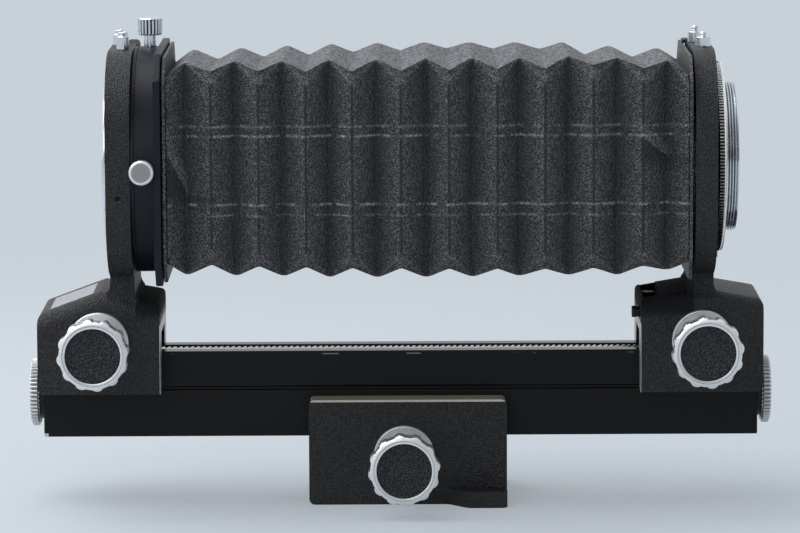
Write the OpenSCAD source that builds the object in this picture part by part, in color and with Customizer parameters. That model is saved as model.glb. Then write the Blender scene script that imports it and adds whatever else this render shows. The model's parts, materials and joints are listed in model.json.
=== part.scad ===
// Macro bellows unit on a rack rail. Millimetres. X runs along the rail, from the lens side (-X) to the
// camera side (+X), Y is across it, with the focusing knobs at -Y, and Z is up. The origin is the middle
// of the tripod socket's mouth, in the underside of the tripod block.

/* [Rail] */
// Length of the rail
rail_len = 200.6; // [180:0.2:240]
// Width of the rail
rail_w = 17; // [15:0.5:22]
// Height of the rail's underside above the foot
rail_low = 18.3; // [17.5:0.1:19]
// Height of the rail's top above the foot
rail_top = 42.5; // [41:0.1:44]

/* [Tripod block] */
// Length of the block along the rail
block_len = 55.4; // [45:0.2:70]
// Width of the block
block_w = 32; // [28:1:40]
// Height of the block
block_h = 29.7; // [26:0.1:31]
// How far the foot stands out at each side
foot_out = 6; // [2:0.5:8]

/* [Standards] */
// Height of the lens axis above the foot
axis_z = 96; // [90:0.5:104]
// Length of each standard's base along the rail
base_len = 34.2; // [30:0.2:40]
// Width of each standard's base
base_w = 34; // [30:1:38]
// Half of the width of the upright plates
plate_half = 31.4; // [29:0.1:34]
// Thickness of the front upright
front_t = 6.8; // [6:0.1:9]
// Thickness of the rear upright
rear_t = 6.1; // [5:0.1:8]
// Travel of each standard along the rail
travel = 52; // [30:1:54]

/* [Knobs] */
// Radius of a focusing knob over its lobes
knob_r = 10.1; // [9:0.1:12]
// Lobes round a focusing knob
knob_lobes = 12; // [8:1:16]
// Distance from the flange to the knob's face
knob_out = 23; // [18:0.5:26]
// Length of the lobed grip
grip_len = 8; // [6:0.5:12]
// Radius of the flange behind a knob
flange_r = 8.5; // [7.5:0.1:9.5]

/* [Screw mounts] */
// Radius of the lens and camera screw threads
thread_r = 21; // [19:0.5:21]
// Length of the male camera thread
male_len = 3.8; // [3:0.1:5]

/* [Bellows] */
// Number of pleats
pleats = 11; // [8:1:14]
// Half of the bellows' width at a ridge
ridge_half = 30; // [28:0.1:31]
// Depth of the folds
fold_depth = 3.3; // [2.5:0.1:4]
// Thickness of the bellows' wall
wall = 0.9; // [0.6:0.1:1.4]

/* [Hidden] */
$fn = 64;
gap = 0.15;             // sliding clearance at flat faces
fit = 0.05;             // running clearance round a shaft
tiny = 0.01;            // overlap that makes a cut clean
front_x = -84.1;        // middle of the front standard's base
rear_x = 84.1;          // middle of the rear standard's base
block_x = 2;            // middle of the tripod block
front_up0 = -80.7;      // front face of the front upright
front_up1 = front_up0 + front_t;
rear_up0 = 81.2;        // front face of the rear upright
rear_up1 = rear_up0 + rear_t;
base_z0 = 31.7;         // underside of the bases
slot_half = rail_w / 2 + gap;
slot_roof = 48;         // roof of the tunnel through a base
groove_z0 = 31.55;      // side groove of the rail, which holds the lips
groove_z1 = 32.5;
groove_half = 7.8;
lip_half = 7.95;
lip_z1 = 32.35;
// Racks and pinions: module 0.5, helical teeth
tooth_module = 0.5;
helix = 17.5;
pinion_teeth = 18;
pitch_r = tooth_module * pinion_teeth / cos(helix) / 2;
pitch_n = PI * tooth_module;
pitch_t = pitch_n / cos(helix);
addendum = 0.46;
dedendum = 0.62;
tooth_half = 0.35;      // half of a tooth's thickness on the pitch line, less the backlash
rack_y0 = -3.6;
rack_y1 = 0.6;
top_rack_y1 = 2.2;
channel_half = 3.6;
rack_base = 2.9;        // from the channel's floor to the pitch line
pinion_z = 46.5;
block_pinion_x = 0.9;
block_pinion_z = 14.05;
top_pitch_z = pinion_z - pitch_r;
low_pitch_z = block_pinion_z + pitch_r;
pinion_y0 = -3.4;
pinion_y1 = 0.4;
cavity_r = pitch_r + 1.1;
shaft_r = 2;
bush_r = 3.5;
flange_t = 2;
disc_r = 7.55;
stop_z = 29.8;          // axis of the end wheels
stop_r = 9.5;
lock_r = 6;
lock_z = 37.6;
block_lock_z = 24.5;
stud_r = 1.45;          // shank of the small clamp screws
carriage_r = 31.6;
carriage_x0 = -73.75;
carriage_x1 = -67.4;
plate_x1 = -65.4;
frame_x1 = -64.1;
rear_frame_x0 = 79.6;
rear_frame_x1 = 80.4;
frame_z = 95.6;          // middle of the square plates, a little under the lens axis
throat_r = 19.5;
tunnel_half = 23;
thumb_x = -69.6;
side_x = -70.6;
sockets = [[-76.8, -8, 131.2], [-78.6, 6, 130.6]];     // x, y and top of the release sockets
barrels = [[84.7, -6, 130.2, 0.65], [83.45, 9, 130.4, 0.95]];  // x, y, top, and the ball above it
barrel_r = 2.1;
ball_r = 0.95;
rim_x = -82.1;          // front face of the lens mount
ring_x = 88.2;          // inner face of the knurled lock ring

// ---- plain helpers ---------------------------------------------------------------------------------

// A 2D shape in (x, z), carried along Y
module along_y(y0, y1) {
    translate([0, y1, 0]) rotate([90, 0, 0]) linear_extrude(y1 - y0) children();
}

// A 2D shape in (y, z), carried along X
module along_x(x0, x1) {
    translate([x0, 0, 0]) rotate([90, 0, 90]) linear_extrude(x1 - x0) children();
}

// A cylinder on an axis parallel to X, Y or Z
module rod_x(r, x0, x1, y, z) {
    translate([x0, y, z]) rotate([0, 90, 0]) cylinder(r = r, h = x1 - x0);
}
module rod_y(r, y0, y1, x, z) {
    translate([x, y1, z]) rotate([90, 0, 0]) cylinder(r = r, h = y1 - y0);
}
module rod_z(r, z0, z1, x, y) {
    translate([x, y, z0]) cylinder(r = r, h = z1 - z0);
}

// A box from its lowest to its highest corner
module box(a, b) {
    translate(a) cube([b[0] - a[0], b[1] - a[1], b[2] - a[2]]);
}

// A rectangle with round corners, by its half sizes
module round_rect(hx, hy, r) {
    square([2 * (hx - r), 2 * hy], center = true);
    square([2 * hx, 2 * (hy - r)], center = true);
    for (sx = [-1, 1], sy = [-1, 1]) translate([sx * (hx - r), sy * (hy - r)]) circle(r);
}

// A round disc on the X axis whose rim has small teeth, cut as a saw-toothed outline
module toothed_disc(r, depth, count, x0, x1, y, z) {
    outline = [for (i = [0 : 2 * count - 1])
        let (a = 180 * i / count, d = i % 2 == 0 ? r : r - depth) [d * cos(a), d * sin(a)]];
    translate([x0, y, z]) rotate([90, 0, 90]) linear_extrude(x1 - x0) polygon(outline);
}

// ---- racks, pinions and knobs ----------------------------------------------------------------------

// The outline of a rack in (x, z): teeth up, pitch line at z = 0, floor at -rack_base
function rack_outline(n) = concat(
    [[-n * pitch_n, -rack_base]],
    [for (k = [-n + 1 : n - 1], s = [[-1, -1], [-1, 1], [1, 1], [1, -1]])
        let (flank = tan(20), h = s[1] > 0 ? addendum : -dedendum)
        [k * pitch_n + s[0] * (tooth_half - h * flank), h]],
    [[n * pitch_n, -rack_base]]
);

// A straight strip of slanted teeth, lying in the rail's channel
module rack(z, up) {
    reach = 72;
    end = rail_len / 2 - 1;
    intersection() {
        translate([0, 0, z]) rotate([up ? 0 : 180, 0, 0]) rotate([0, 0, up ? -helix : helix])
            along_y(-36, 36) polygon(rack_outline(reach));
        box([-end, rack_y0, z - rack_base - 1], [end, up ? top_rack_y1 : rack_y1, z + rack_base + 1]);
    }
}

// Places of the rack's gap next to x, at a height y across the rail
function gap_near(x, y) = let (g = (x - y * tan(helix)) / pitch_t - 0.5)
    (round(g) + 0.5) * pitch_t + y * tan(helix);

// The outline of a pinion, its first tooth at the angle a
function pinion_outline(a) = [for (k = [0 : pinion_teeth - 1],
        c = [[-1, -1], [-1, 1], [1, 1], [1, -1]])
    let (h = c[1] > 0 ? addendum : -dedendum, r = pitch_r + h,
         half = (tooth_half - h * 0.42) / pitch_r * 180 / PI,
         t = a + k * 360 / pinion_teeth + c[0] * half)
    [r * cos(t), r * sin(t)]];

// A pinion on its shaft. It runs over a rack, or under one.
module pinion(x, z, over, shaft_y0, shaft_y1) {
    turn = (pinion_y1 - pinion_y0) * tan(helix) / pitch_r * 180 / PI;
    shift = (gap_near(x, pinion_y1) - x) / pitch_r * 180 / PI;
    translate([x, pinion_y1, z]) rotate([90, 0, 0])
        linear_extrude(pinion_y1 - pinion_y0, twist = over ? turn : -turn, slices = 8)
        polygon(pinion_outline(over ? -90 + shift : 90 - shift));
    rod_y(shaft_r, shaft_y0, shaft_y1, x, z);
}

// Bush with a flange that carries a pinion's shaft in the near wall
module knob_bush(x, z, face_y, inner_y) {
    difference() {
        union() {
            rod_y(flange_r, face_y - flange_t, face_y, x, z);
            rod_y(bush_r, face_y - tiny, inner_y, x, z);
        }
        rod_y(shaft_r + fit, face_y - flange_t - 1, inner_y + 1, x, z);
    }
}

// Lobed focusing knob with a neck, and a shallow seat for its disc
module focus_knob(x, z, face_y) {
    front = face_y - flange_t - knob_out;
    lobe = 2;
    difference() {
        union() {
            translate([x, front + grip_len, z]) rotate([90, 0, 0]) linear_extrude(grip_len) {
                circle(knob_r - 0.8);
                for (k = [0 : knob_lobes - 1]) rotate(k * 360 / knob_lobes + 5)
                    translate([knob_r - lobe, 0]) circle(lobe);
            }
            rod_y(8.4, front + grip_len - tiny, front + grip_len + 1.6, x, z);
            rod_y(4.6, front + grip_len, face_y - flange_t - 0.3, x, z);
        }
        rod_y(disc_r, front - 1, front + 0.8, x, z);
        rod_y(shaft_r, front + 3, face_y, x, z);
    }
}

module knob_disc(x, z, face_y) {
    front = face_y - flange_t - knob_out;
    rod_y(disc_r, front + 0.25, front + 0.8, x, z);
}

// Small knurled clamp knob on the far side, whose stud bears on a gib
module lock_knob(x, z, face_y, tip_y) {
    teeth = 28;
    outline = [for (i = [0 : 2 * teeth - 1])
        let (a = 180 * i / teeth, d = i % 2 == 0 ? lock_r : lock_r - 0.35) [d * cos(a), d * sin(a)]];
    translate([x, face_y + 8.4, z]) rotate([90, 0, 0]) linear_extrude(7) polygon(outline);
    rod_y(3, face_y + 0.3, face_y + 1.5, x, z);
    rod_y(shaft_r, tip_y, face_y + 1, x, z);
}

// ---- tripod block ----------------------------------------------------------------------------------

// Half of the foot's plan at the height x along the block: it flares with an S curve
function foot_edge(x) = let (t = min(1, max(0, (x - 12.3) / 7.5)))
    block_w / 2 + foot_out * t * t * (3 - 2 * t);

module foot_plan() {
    end = block_x + block_len / 2;
    steps = 10;
    xs = [for (i = [0 : steps]) 12.3 + 7.5 * i / steps];
    corner = [[end - 1.2, foot_edge(end)], [end, foot_edge(end) - 1.2]];
    side = concat([for (x = xs) [x, foot_edge(x)]], corner);
    polygon(concat(side, [for (i = [len(side) - 1 : -1 : 0]) [side[i][0], -side[i][1]]]));
}

module tripod_block() color("#26262a") {
    x0 = block_x - block_len / 2;
    x1 = block_x + block_len / 2;
    difference() {
        union() {
            along_y(-block_w / 2, block_w / 2)
                translate([block_x, block_h / 2]) round_rect(block_len / 2, block_h / 2, 1.7);
            linear_extrude(4.6) foot_plan();
        }
        box([x0 - 1, -slot_half, rail_low - gap], [x1 + 1, slot_half, block_h + 1]);
        rod_y(cavity_r, pinion_y0 - 0.5, pinion_y1 + 0.5, block_pinion_x, block_pinion_z);
        rod_y(bush_r, -block_w / 2 - 1, pinion_y0 - 0.4, block_pinion_x, block_pinion_z);
        rod_y(shaft_r + fit, 0, 12, block_pinion_x, block_pinion_z);
        rod_z(4.8, -1, 7.5, 0, 0);
        box([x0 + 6, 0.9, rail_low - 2.2], [x0 + 18, 3.3, rail_low]);
        box([x0 + 12, slot_half - tiny, 20.5], [x1 - 12, slot_half + 1.5, 28]);
        rod_y(shaft_r + fit, slot_half, block_w / 2 + 1, block_x, block_lock_z);
    }
}

module tripod_bush() color("#b9b9bb") difference() {
    rod_z(4.8, 0, 7.5, 0, 0);
    rod_z(3.2, -1, 6.5, 0, 0);
}

// Steel hook that holds the block up against the rail, in the undercut of its lower channel
module block_keeper() color("#8f9296") {
    x0 = block_x - block_len / 2 + 6;
    box([x0, 0.9, rail_low - 2.2], [x0 + 12, 3.3, 21.4]);
    box([x0, 3.29, 20.45], [x0 + 12, 5.2, 21.4]);
}

module block_gib() color("#b08d4c")
    box([block_x - 14, slot_half, 21], [block_x + 14, slot_half + 1.1, 27.5]);

module block_knob_bush() color("#c8c9cb")
    knob_bush(block_pinion_x, block_pinion_z, -block_w / 2, pinion_y0 - 0.6);

module block_pinion() color("#a9abae")
    pinion(block_pinion_x, block_pinion_z, false, -block_w / 2 - flange_t - knob_out + 4, 11.5);

module block_knob() color("#d8d9db") focus_knob(block_pinion_x, block_pinion_z, -block_w / 2);

module block_knob_disc() color("#1c1c22") knob_disc(block_pinion_x, block_pinion_z, -block_w / 2);

module block_lock_knob() color("#c8c9cb")
    lock_knob(block_x, block_lock_z, block_w / 2, slot_half + 1.15);

// ---- rail ------------------------------------------------------------------------------------------

module rail() color("#1d1d20") {
    half = rail_len / 2;
    top_floor = top_pitch_z - rack_base;
    low_floor = low_pitch_z + rack_base;
    difference() {
        box([-half, -rail_w / 2, rail_low], [half, rail_w / 2, rail_top]);
        for (s = [-1, 1])
            box([-half - 1, s > 0 ? groove_half : -rail_w, groove_z0],
                [half + 1, s > 0 ? rail_w : -groove_half, groove_z1]);
        box([-half - 1, -channel_half, top_floor], [half + 1, channel_half, rail_top + 1]);
        box([-half - 1, -channel_half, rail_low - 1], [half + 1, channel_half, low_floor]);
        box([-half - 1, channel_half - tiny, 20.3], [half + 1, 5.4, low_floor]);
        for (s = [-1, 1])
            rod_x(2.55, s > 0 ? half - 10 : -half - 1, s > 0 ? half + 1 : -half + 10, 0, stop_z);
    }
}

module top_rack() color("#a3a5a8") rack(top_pitch_z, true);

module bottom_rack() color("#a3a5a8") rack(low_pitch_z, false);

module rail_end_washers() color("#2c2c2c") for (s = [0, 1]) mirror([s, 0, 0]) difference() {
    rod_x(7.5, rail_len / 2, rail_len / 2 + 1.2, 0, stop_z);
    rod_x(2.6, rail_len / 2 - 1, rail_len / 2 + 3, 0, stop_z);
}

// Knurled end wheel with its screw
module stop_wheel(s) {
    inner = rail_len / 2 + 1.3;
    mirror([s > 0 ? 0 : 1, 0, 0]) {
        toothed_disc(stop_r, 0.4, 48, inner, inner + 2.6, 0, stop_z);
        rod_x(2.5, rail_len / 2 - 9, inner + 1, 0, stop_z);
    }
}

module front_stop_wheel() color("#c4c6c8") stop_wheel(-1);

module rear_stop_wheel() color("#c4c6c8") stop_wheel(1);

// ---- base and upright shared by the standards ------------------------------------------------------

// A long bar below a sloping top line, with both long edges rounded. a is the slope's angle.
module sloped_bar(x, z, a, r) {
    reach = 70;
    translate([x, 0, z]) rotate([0, -a, 0]) along_x(-reach, reach) translate([0, -reach / 2]) {
        square([base_w - 2 * r, reach], center = true);
        translate([0, -r]) square([base_w, reach], center = true);
        for (s = [-1, 1]) translate([s * (base_w / 2 - r), reach / 2 - r]) circle(r);
    }
}

// Points along an arc of n steps
function arc(x, z, r, a0, a1, n) =
    [for (i = [0 : n]) let (a = a0 + (a1 - a0) * i / n) [x + r * cos(a), z + r * sin(a)]];

// The base, seen with its outer end at -X. From a ridge at (x, z) its top slopes down by the angle a to
// the outer end and by b to the inner end. The long edges and the top corners of both ends are rounded.
module base_solid(x, z, a, b, outer_r) {
    half = base_len / 2;
    inner_r = 1.8;
    xa = -half + outer_r;
    xb = half - inner_r;
    outline = concat([[-half, base_z0 + 1.6], [-half + 0.9, base_z0], [half, base_z0]],
        arc(xb, z - (xb - x) * tan(b) - inner_r / cos(b), inner_r, 0, 90 - b, 6), [[x, z]],
        arc(xa, z - (x - xa) * tan(a) - outer_r / cos(a), outer_r, 90 + a, 180, 6));
    intersection() {
        along_y(-base_w / 2, base_w / 2) polygon(outline);
        sloped_bar(x, z + 0.05, a, 4.5);
        sloped_bar(x, z + 0.05, -b, 4.5);
    }
}

// What is cut out of a base: the tunnel for the rail with its holding lips, the bores and pockets
module base_cuts() {
    far = base_len / 2 + 1;
    along_x(-far, far) polygon([[-slot_half, lip_z1], [-slot_half, slot_roof], [slot_half, slot_roof],
        [slot_half, lip_z1], [lip_half, lip_z1], [lip_half, 0], [-lip_half, 0], [-lip_half, lip_z1]]);
    rod_y(cavity_r, pinion_y0 - 0.5, pinion_y1 + 0.5, 0, pinion_z);
    rod_y(bush_r, -base_w / 2 - 1, pinion_y0 - 0.4, 0, pinion_z);
    rod_y(shaft_r + fit, 0, 13, 0, pinion_z);
    box([-10, slot_half - tiny, 34.4], [10, slot_half + 1.5, 41]);
    rod_y(shaft_r + fit, slot_half, base_w / 2 + 1, 0, lock_z);
}

// Round-cornered upright on its pedestal. A small fillet on each side, whose upper end is at the
// height given for that side, leads down to the base.
module upright_solid(x0, x1, low_side, high_side) {
    foot = 15.5;
    fillet_r = 3.9;
    flare = 1.1;
    along_x(x0, x1) {
        translate([0, axis_z]) round_rect(plate_half, plate_half, 20);
        translate([-foot, 52]) square([2 * foot, 24]);
    }
    for (f = [[x0, -1, low_side], [x1, 1, high_side]]) difference() {
        box([f[1] < 0 ? x0 - flare : x1 - tiny, -foot, 54], [f[1] < 0 ? x0 + tiny : x1 + flare, foot, f[2]]);
        rod_y(fillet_r, -foot - 1, foot + 1, f[0] + f[1] * fillet_r, f[2]);
    }
}

// Four pads that carry a base on the rail's top, beside the rack
module shoes(x) color("#9a7b45") for (sx = [-10, 10], y = [-8.3, 4.2])
    box([x + sx - 3, y, rail_top + 0.1], [x + sx + 3, y + 4.1, slot_roof]);

module gib(x) color("#b08d4c") box([x - 9.5, slot_half, 34.8], [x + 9.5, slot_half + 1.1, 40.6]);

// ---- front standard --------------------------------------------------------------------------------

module front_casting() color("#26262a") difference() {
    union() {
        translate([front_x, 0, 0]) base_solid(0.55, 60.32, 20.1, 10.5, 2.8);
        upright_solid(front_up0, front_up1, 63, 61.1);
        intersection() {
            along_y(9, 16.5) translate([-75.1, 125.3]) round_rect(1.85, 2.9, 1.2);
            along_x(-78, -73) polygon([[9, 120], [9, 126.3], [14, 128.2], [16.5, 128.2], [16.5, 120]]);
        }
    }
    rod_x(carriage_r + gap, front_up1, -72, 0, axis_z);
    translate([front_x, 0, 0]) base_cuts();
    rod_x(25.2, front_up0 - 1, rim_x + 2.3, 0, axis_z);
    rod_x(22.4, front_up0 - 1, rim_x + 5.8, 0, axis_z);
    rod_x(throat_r, front_up0 - 1, front_up1 + 1, 0, axis_z);
    rod_x(28.1, -75.6, front_up1 + 1, 0, axis_z);
    rod_y(0.7, -plate_half - 1, -25, -77.3, 88.6);
    for (p = sockets) rod_z(1.2, axis_z + 28, 140, p[0], p[1]);
    translate([front_x - 15.2, 0, 54.6]) rotate([0, -19.8, 0]) box([1.6, -11, -0.5], [14.4, 9, 2]);
}

// Blank plate let into the sloping top of the front base
module front_window() color("#b8bcc4")
    translate([front_x - 15.2, 0, 54.6]) rotate([0, -19.8, 0]) box([1.6, -11, -0.5], [14.4, 9, 0.1]);

// Female lens mount: flange, threaded bore and inner lip, turned as one ring
module lens_mount_ring() color("#d5d8dc") difference() {
    translate([rim_x, 0, axis_z]) rotate([0, 90, 0]) rotate_extrude($fn = 96) polygon([
        [thread_r, 0], [24.6, 0], [25.2, 0.6], [25.2, 2.3], [22.4, 2.3], [22.4, 5.8],
        [throat_r, 5.8], [throat_r, 4.2], [thread_r, 4.2]]);
    for (a = [45 : 90 : 315])
        translate([0, 0, axis_z]) rotate([a, 0, 0]) rod_x(0.95, rim_x - 1, rim_x + 1, 0, 23.3);
}

module lens_mount_screws() color("#e2e3e6") for (a = [45 : 90 : 315])
    translate([0, 0, axis_z]) rotate([a, 0, 0]) difference() {
        rod_x(0.95, rim_x + 0.15, rim_x + 1, 0, 23.3);
        box([rim_x - 0.3, -1.2, 23.12], [rim_x + 0.4, 1.2, 23.48]);
    }

module mount_grub_screw() color("#3a3a3e") difference() {
    rod_y(0.7, -30.4, -25, -77.3, 88.6);
    box([-78.2, -31, 88.5], [-76.4, -30, 88.7]);
}

// Two cable release sockets on the front upright
module front_release_sockets() color("#d9dbde") for (p = sockets) difference() {
    union() {
        rod_z(1.75, axis_z + plate_half, p[2], p[0], p[1]);
        rod_z(1.35, p[2] - tiny, p[2] + 1.2, p[0], p[1]);
        rod_z(1.2, axis_z + 28, p[2], p[0], p[1]);
    }
    rod_z(0.85, axis_z + 29, p[2] + 3, p[0], p[1]);
}

module front_shoes() shoes(front_x);

module front_gib() gib(front_x);

module front_knob_bush() color("#c8c9cb") knob_bush(front_x, pinion_z, -base_w / 2, pinion_y0 - 0.6);

// Round carriage that holds the bellows to the front upright
module bellows_carriage() color("#222429") difference() {
    union() {
        rod_x(carriage_r, carriage_x0, -72.9, 0, axis_z);
        rod_x(carriage_r - 0.4, -72.91, -72.64, 0, axis_z);
        rod_x(carriage_r, -72.65, carriage_x1, 0, axis_z);
        rod_x(28.05, -75.5, carriage_x0 + tiny, 0, axis_z);
    }
    rod_x(throat_r + 3, -77, carriage_x1 + 1, 0, axis_z);
    rod_z(stud_r + fit, axis_z + 25.5, axis_z + 40, thumb_x, 0);
    rod_y(stud_r + fit, -40, -25.5, side_x, axis_z);
}

// Square plate with a square hole, whose corners are cut off at 45 degrees
module square_frame(x0, x1, half, hole, cut) {
    e = half - cut;
    difference() {
        along_x(x0, x1) translate([0, frame_z]) polygon([[half, -e], [half, e], [e, half], [-e, half],
            [-half, e], [-half, -e], [-e, -half], [e, -half]]);
        along_x(x0 - 1, x1 + 1) translate([0, axis_z]) square(2 * hole, center = true);
    }
}

module carriage_plate() color("#23252c")
    square_frame(carriage_x1, plate_x1, plate_half + 0.8, tunnel_half, 7);

module bellows_front_frame() color("#2a2a2c") {
    square_frame(plate_x1 + 0.4, frame_x1, plate_half - 0.2, tunnel_half, 6.5);
    square_frame(plate_x1, plate_x1 + 0.41, 28, tunnel_half, 5);
}

module front_pinion() color("#a9abae")
    pinion(front_x, pinion_z, true, -base_w / 2 - flange_t - knob_out + 4, 12.5);

module front_knob() color("#d8d9db") focus_knob(front_x, pinion_z, -base_w / 2);

module front_knob_disc() color("#1c1c22") knob_disc(front_x, pinion_z, -base_w / 2);

module front_lock_knob() color("#c8c9cb") lock_knob(front_x, lock_z, base_w / 2, slot_half + 1.15);

// Knurled screw on top of the carriage
module top_thumb_screw() color("#dfe1e4") {
    top = 135.7;
    low = 130.9;
    teeth = 20;
    outline = [for (i = [0 : 2 * teeth - 1])
        let (a = 180 * i / teeth, d = i % 2 == 0 ? 3.45 : 3.1) [d * cos(a), d * sin(a)]];
    translate([thumb_x, 0, low]) linear_extrude(top - low) polygon(outline);
    rod_z(1.68, axis_z + carriage_r + 0.1, low + tiny, thumb_x, 0);
    rod_z(stud_r, axis_z + 26, axis_z + carriage_r + 0.2, thumb_x, 0);
}

// Flat knurled screw on the carriage's side
module side_lock_screw() color("#c2c4c8") {
    teeth = 36;
    outline = [for (i = [0 : 2 * teeth - 1])
        let (a = 180 * i / teeth, d = i % 2 == 0 ? 3.5 : 3.3) [d * cos(a), d * sin(a)]];
    translate([side_x, -carriage_r - 0.85, axis_z]) rotate([90, 0, 0]) linear_extrude(2.7) polygon(outline);
    rod_y(stud_r, -carriage_r - 1, -26, side_x, axis_z);
}

// ---- bellows ---------------------------------------------------------------------------------------

// Pleated square tube. Top and bottom ridges stand where the sides have their valleys, so that the
// corner edges run in zigzags, and each ridge is a little rounded by the stations beside it.
bellows_x0 = frame_x1;
bellows_x1 = rear_frame_x0;
first_ridge = bellows_x0 + 5.5;
pleat_len = (bellows_x1 - bellows_x0 - 11.5) / (pleats - 1);
steps = 8;
stations = (pleats - 1) * steps + 5;

// Place of the station i along the rail: the ends, and eight to a pleat between them
function station_x(i) = i == 0 ? bellows_x0 : i == stations ? bellows_x1
    : first_ridge + (i - 2) * pleat_len / steps;

// Height of the fold, 0 at a valley of the top and 1 at its ridge, at the station i
function fold(i) = let (t = (station_x(i) - first_ridge) / pleat_len)
    min(0.93, 1.04 * (1 - 2 * abs(t - round(t))));
function corner(i, inset) = [ridge_half - fold_depth * fold(i) - inset,
    ridge_half - fold_depth * (1 - fold(i)) - inset];

// Eight points round the tube at a station: each corner is cut by a small gusset
function ring(i, inset) = let (c = corner(i, inset), g = 1.6)
    [for (q = [[1, 1, 0], [1, 1, 1], [-1, 1, 1], [-1, 1, 0],
            [-1, -1, 0], [-1, -1, 1], [1, -1, 1], [1, -1, 0]])
        [station_x(i), q[0] * (c[0] - (q[2] ? g : 0)), axis_z + q[1] * (c[1] - (q[2] ? 0 : g))]];

module bellows() color("#2b2b2d") {
    n = 8;
    outer = [for (i = [0 : stations], p = ring(i, 0)) p];
    inner = [for (i = [0 : stations], p = ring(i, wall)) p];
    m = len(outer);
    skin = [for (i = [0 : stations - 1], j = [0 : n - 1], h = [0, 1])
        let (a = i * n + j, b = i * n + (j + 1) % n, c = a + n, d = b + n) h ? [a, c, d] : [a, d, b]];
    lining = [for (f = skin) [f[0] + m, f[2] + m, f[1] + m]];
    ends = [for (e = [0, 1], j = [0 : n - 1], h = [0, 1])
        let (k = e * stations * n, a = k + j, b = k + (j + 1) % n, c = a + m, d = b + m)
        e == 0 ? (h ? [a, b, d] : [a, d, c]) : (h ? [a, d, b] : [a, c, d])];
    polyhedron(concat(outer, inner), concat(skin, lining, ends));
}

// ---- rear standard ---------------------------------------------------------------------------------

module rear_casting() color("#26262a") difference() {
    union() {
        translate([rear_x, 0, 0]) mirror([1, 0, 0]) base_solid(0.12, 60.49, 9.8, 9.5, 2.3);
        upright_solid(rear_up0, rear_up1, 62.6, 62.4);
        along_y(12.2, 18) translate([81.9, 127.25]) round_rect(1.9, 0.55, 0.45);
        box([rear_up0 + 0.5, 12.2, 122], [83, 18, 127.6]);
    }
    translate([rear_x, 0, 0]) mirror([1, 0, 0]) base_cuts();
    rod_x(21.45, rear_up0 - 1, rear_up1 + 1, 0, axis_z);
    for (p = barrels) rod_z(1.3, axis_z + 28, 140, p[0], p[1]);
    box([68, -12.5, 55.4], [72.6, 14.5, 62]);
    rod_z(0.9, 50, 57, 70.3, 7);
    rod_x(0.8, 66, 72, -10, 53.5);
}

module bellows_rear_frame() color("#2a2a2c") {
    square_frame(rear_frame_x0, rear_frame_x1, plate_half - 0.4, tunnel_half, 6.5);
    difference() {
        rod_x(29.5, rear_frame_x1 - tiny, rear_up0, 0, axis_z);
        rod_x(23.5, rear_frame_x1 - 1, rear_up0 + 1, 0, axis_z);
    }
}

module rear_shoes() shoes(rear_x);

module rear_gib() gib(rear_x);

module rear_knob_bush() color("#c8c9cb") knob_bush(rear_x, pinion_z, -base_w / 2, pinion_y0 - 0.6);

// Two barrels on top of the rear upright, which guide the release plungers
module rear_release_barrels() color("#d9dbde") for (p = barrels) difference() {
    union() {
        rod_z(barrel_r, axis_z + plate_half, p[2], p[0], p[1]);
        rod_z(1.3, axis_z + 28, p[2], p[0], p[1]);
    }
    rod_z(0.6 + fit, axis_z + 28.5, p[2] + 1, p[0], p[1]);
    rod_z(ball_r + 0.1, p[2] - 1.6, p[2] + 1, p[0], p[1]);
}

// Plunger with a collar and a ball tip, which stands out of its barrel
module plunger(p) {
    rod_z(0.6, axis_z + 31, p[2] + p[3], p[0], p[1]);
    rod_z(0.8, p[2] - 0.2, p[2] + 0.35, p[0], p[1]);
    translate([p[0], p[1], p[2] + p[3]]) sphere(ball_r);
}

module near_release_plunger() color("#e6e8ea") plunger(barrels[0]);

module far_release_plunger() color("#e6e8ea") plunger(barrels[1]);

module rear_stop_pin() color("#1b1b1e") {
    rod_x(0.8, 66, 71.5, -10, 53.5);
    rod_x(1.6, 64.8, 66.2, -10, 53.5);
    rod_x(1.35, 66.19, 66.5, -10, 53.5);
    rod_x(1.6, 66.49, 67, -10, 53.5);
}

module rear_corner_screw() color("#55565a") difference() {
    union() {
        rod_z(0.9, 51, 55.5, 70.3, 7);
        rod_z(1.9, 55.4, 56.7, 70.3, 7);
    }
    box([67, 6.8, 56.2], [74, 7.2, 58]);
}

module rear_pinion() color("#a9abae")
    pinion(rear_x, pinion_z, true, -base_w / 2 - flange_t - knob_out + 4, 12.5);

module rear_knob() color("#d8d9db") focus_knob(rear_x, pinion_z, -base_w / 2);

module rear_knob_disc() color("#1c1c22") knob_disc(rear_x, pinion_z, -base_w / 2);

module rear_lock_knob() color("#c8c9cb") lock_knob(rear_x, lock_z, base_w / 2, slot_half + 1.15);

// Knurled ring that clamps the turning camera mount, with its thumb tab at the bottom
module knurled_lock_ring() color("#b9bbbd") {
    outer = 90.2;
    difference() {
        union() {
            toothed_disc(26.6, 0.35, 180, ring_x, 89.5, 0, axis_z);
            rod_x(26.4, 89.49, outer, 0, axis_z);
        }
        rod_x(22.35, ring_x - 1, outer + 1, 0, axis_z);
    }
    translate([0, 0, axis_z]) rotate([11, 0, 0]) box([ring_x, -2, -29.3], [ring_x + 1.5, 2, -26]);
}

// Camera mount: journal, flange and male thread, turned as one ring
module camera_mount() color("#cfd6dc") translate([0, 0, axis_z]) rotate([0, 90, 0])
    rotate_extrude($fn = 96) polygon([
        [18.6, rear_up0 - 0.15], [21.4, rear_up0 - 0.15], [21.4, rear_up1 + 0.1],
        [22.05, rear_up1 + 0.1], [22.05, 90.1], [thread_r, 90.1], [thread_r, 90.1 + male_len],
        [18.6, 90.1 + male_len]]);

module camera_mount_retainer() color("#8f9296") difference() {
    rod_x(22.8, rear_up0 - 0.7, rear_up0 - 0.15, 0, axis_z);
    rod_x(18.6, rear_up0 - 2, rear_up0 + 1, 0, axis_z);
}

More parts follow.
